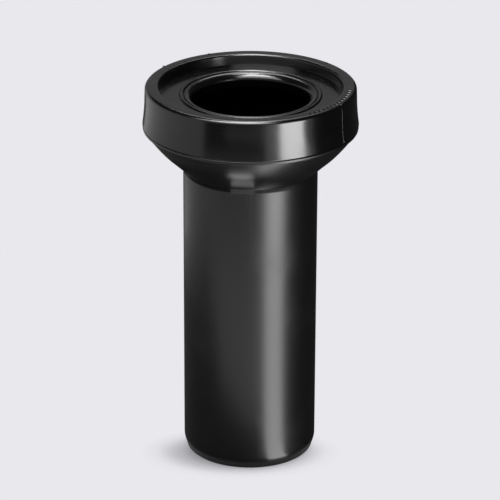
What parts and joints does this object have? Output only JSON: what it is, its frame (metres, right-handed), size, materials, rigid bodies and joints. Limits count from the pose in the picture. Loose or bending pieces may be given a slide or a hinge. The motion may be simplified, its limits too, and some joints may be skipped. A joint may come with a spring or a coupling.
{
  "type": "toilet connector",
  "caption": "Straight toilet pan connector: a soil pipe spigot that flares into a bell, with a rubber lip seal snapped over its collar.",
  "frame": {"origin": "centre of the plain end, on the surface it stands on", "axes": "+Z along the pipe's axis, from the plain end up to the seal; the fitting is round, and -Y faces the camera"},
  "size_m": [0.1438, 0.1438, 0.2616],
  "materials": {
    "pipe_body": "satin moulded black polyethylene",
    "lip_seal": "smooth semi-gloss black rubber"
  },
  "bodies": {
    "root": {"pipe_body": "pipe_body", "lip_seal": "lip_seal"}
  },
  "joints": []
}
